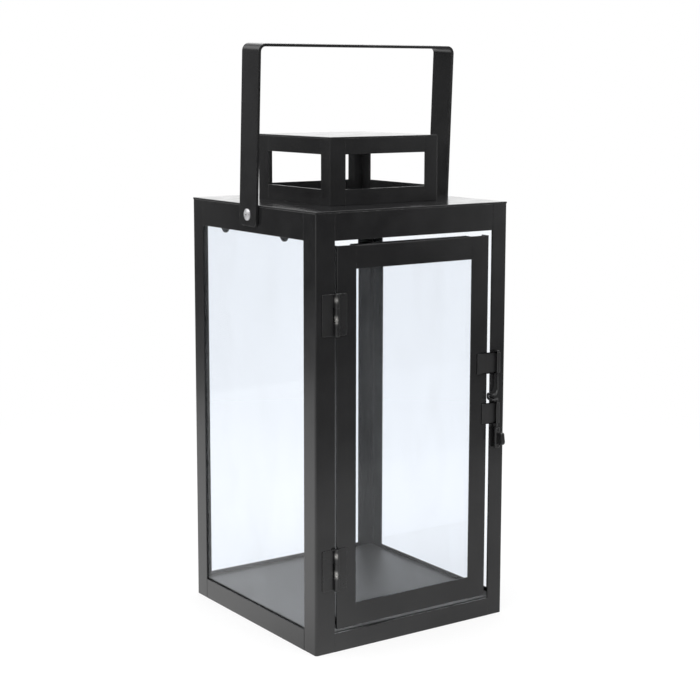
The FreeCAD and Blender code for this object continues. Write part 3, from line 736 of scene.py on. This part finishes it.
def latchLeaf(name, v):
    # the sheet's middle line lies on the stile, steps off it, crosses the gap and rolls round the wire
    low, high = boxMm(name)
    back = boxMm("door_stile_latch")[0][1]
    edge = boxMm("door_stile_latch")[1][0]
    half = v["sheet"] / 2
    on = back - half - latchY
    off = on - v["standoff"]
    corners = [(low[0] - latchX, on), (edge - v["jog"] - latchX, on), (edge - latchX, off), (0.0, off)]
    flat = rounded(corners, [v["jogBend"]] * 2, steps=5)
    middle = v["barrel"] - half
    stop = math.asin((v["barrel"] - v["sheet"] - v["slit"]) / v["barrel"]) - math.pi
    a = np.linspace(math.pi / 2, stop, v["rollSteps"])[1:]
    path = np.vstack([flat, middle * np.stack([np.cos(a), np.sin(a)], 1)])
    outline = sheetOutline(path, v["sheet"], v["soft"])
    shape = softPrism(outline, low[2], high[2], v["soft"], upright(latchX, latchY))
    addPiece(name + "_rolled", [shape], latchEnamel, "door", [name])


def latchWire(v):
    # down through the upper barrel, out and round an arc about its own axis, back the same way lower down
    lower = boxMm("latch_leaf_lower")
    edge, post = boxMm("door_stile_latch")[1][0], boxMm("post_front_right")[0][0]
    face = boxMm("door_stile_latch")[0][1]
    depth = face - latchY
    toPost = math.hypot(latchX - post, depth + angleValues["post"]["sheet"])
    crank = (toPost + math.hypot(latchX - edge, depth)) / 2
    foot = lower[1][2] + v["footRun"]
    first, last = math.radians(v["startAngle"]), math.radians(v["endAngle"])
    middle, halfTurn = (first + last) / 2, (first - last) / 2

    def around(radius, angle, height):
        return np.array([latchX + radius * math.cos(angle), latchY + radius * math.sin(angle), height])

    def loop(height):
        # where the wire comes in, the corner that the arc about the latch's axis rounds, and the free tip
        lead = around(crank, first, height) + v["lead"] * np.array([-math.sin(first), math.cos(first), 0])
        tip = around(crank, last, height) + v["tipRun"] * np.array([math.sin(last), -math.cos(last), 0])
        return [lead, around(crank / math.cos(halfTurn), middle, height), tip]
    low, high = boxMm("latch_wire")
    level = foot + v["tongueRise"]
    corners = [around(0, 0, high[2] - v["wireBelowTop"]), around(0, 0, level), *loop(level),
               *loop(foot)[::-1], around(0, 0, foot), around(0, 0, low[2])]
    lead, tip = v["leadBend"], v["tipBend"]
    bends = [v["armBend"], lead, crank, tip, tip, crank, lead, v["footBend"]]
    wire = tube(rounded(corners, bends, steps=10), v["wire"], np.array(v["wireSquare"]))
    base, radius = high[2] - v["collarHeight"], v["collar"]
    corners = [(0, base), (radius, base), (radius, high[2]), (0, high[2])]
    profile = rounded(corners, v["collarBends"], steps=4)
    collar = turned(profile, upright(latchX, latchY), v["collarSides"])
    addPiece("latch_wire_bent", [wire, collar], latchEnamel, "latch", ["latch_wire"])


def latchThumb(v):
    # a sleeve with a floor, closed over the wire's end, and a lever that stands out of it to the front
    low, high = boxMm("latch_thumb")
    radius, wire = v["sleeve"], v["wire"] + v["sleevePlay"]
    inside = low[2] + v["sleeveFloor"]
    corners = [(0, low[2]), (radius, low[2]), (radius, high[2]), (wire, high[2]), (wire, inside),
               (0, inside)]
    profile = rounded(corners, v["sleeveBends"], steps=5)
    sleeve = turned(profile, upright(latchX, latchY), v["sleeveSides"])
    height = v["leverHigh"] - v["leverLow"]
    back = v["leverReach"] - v["leverNose"]
    lean = (v["leverReach"] - v["leverShoulder"]) / height
    tip = back + v["leverNose"] * (math.sqrt(1 + lean ** 2) + lean)
    root, rootBend = v["leverRoot"], v["leverRootBend"]
    corners = [(root, 0.0), (tip, 0.0), (tip - lean * height, height), (root, height)]
    outline = closedRounded(corners, [rootBend, v["leverNose"], v["leverTopBend"], rootBend], steps=8)

    def place(across, up, along):
        return np.stack([latchX + along, latchY - across, low[2] + v["leverLow"] + up], -1)
    half = v["leverWidth"] / 2
    lever = softPrism(outline, -half, half, v["leverSoft"], place, steps=5)
    addPiece("latch_thumb_lever", [sleeve, lever], latchEnamel, "latch", ["latch_thumb"])


latchLeaf("latch_leaf_upper", latchValues)
latchLeaf("latch_leaf_lower", latchValues)
latchWire(latchValues)
latchThumb(latchValues)
print("latch made")


# Pivot rivets: a hammered dome outside, a shank, and a formed tail inside

rivetValues = {
    "head": 3.8, "headHeight": 1.58, "rim": 0.4, "shank": 1.95, "tail": 3.0, "tailHeight": 1.5,
    "bends": (0.5, 0.1, 0.1, 0.1, 0.12), "domeSteps": 10, "sides": 48,
    "dent": 0.07, "dentsRound": (3, 2), "dentsAcross": (5, 4), "dentTurns": (0.7, -1.1),
    "dentShares": (1.0, 0.6),
}


def pivotRivet(name, v, way):
    # the head's dome is a part of a sphere; way is the side, along x, that it looks to
    low, high = boxMm(name)
    level = (low[2] + high[2]) / 2
    seat, inner = high[0] - low[0] - v["headHeight"], v["tailHeight"]
    length = high[0] - low[0] - v["dent"]
    rise = v["headHeight"] - v["dent"] - v["rim"]
    sphere = (v["head"] ** 2 + rise ** 2) / (2 * rise)
    a = np.linspace(math.asin(v["head"] / sphere), 0, v["domeSteps"])
    dome = np.stack([sphere * np.sin(a), length - sphere + sphere * np.cos(a)], 1)
    tail, shank, head = v["tail"], v["shank"], v["head"]
    corners = [(0, 0.0), (tail, 0.0), (tail, inner), (shank, inner), (shank, seat), (head, seat),
               (head, seat + v["rim"])]
    shaft = rounded(corners, v["bends"], steps=4)

    def dents(radius, t):
        # shallow hammer marks: waves round and across the dome, none at its middle and rim
        share = radius / head
        (roundA, roundB), (acrossA, acrossB) = v["dentsRound"], v["dentsAcross"]
        (turnA, turnB), (shareA, shareB) = v["dentTurns"], v["dentShares"]
        marks = (shareA * np.cos(roundA * t + turnA) * np.sin(acrossA * share)
                 + shareB * np.cos(roundB * t + turnB + acrossB * share))
        onDome = (np.arange(len(profile)) >= len(shaft))[:, None]
        return v["dent"] * marks * np.sin(math.pi * np.clip(share, 0, 1)) * onDome
    profile = np.vstack([shaft, dome[1:]])

    def place(across, up, along):
        start = low[0] if way > 0 else high[0]
        return np.stack([start + way * along, across, level + up], -1)
    shape = turned(profile, place, v["sides"], dents)
    addPiece(name + "_hammered", [shape], rivetMetal, "frame", [name])


pivotRivet("pivot_rivet_left", rivetValues, -1)
pivotRivet("pivot_rivet_right", rivetValues, 1)
print("rivets made")
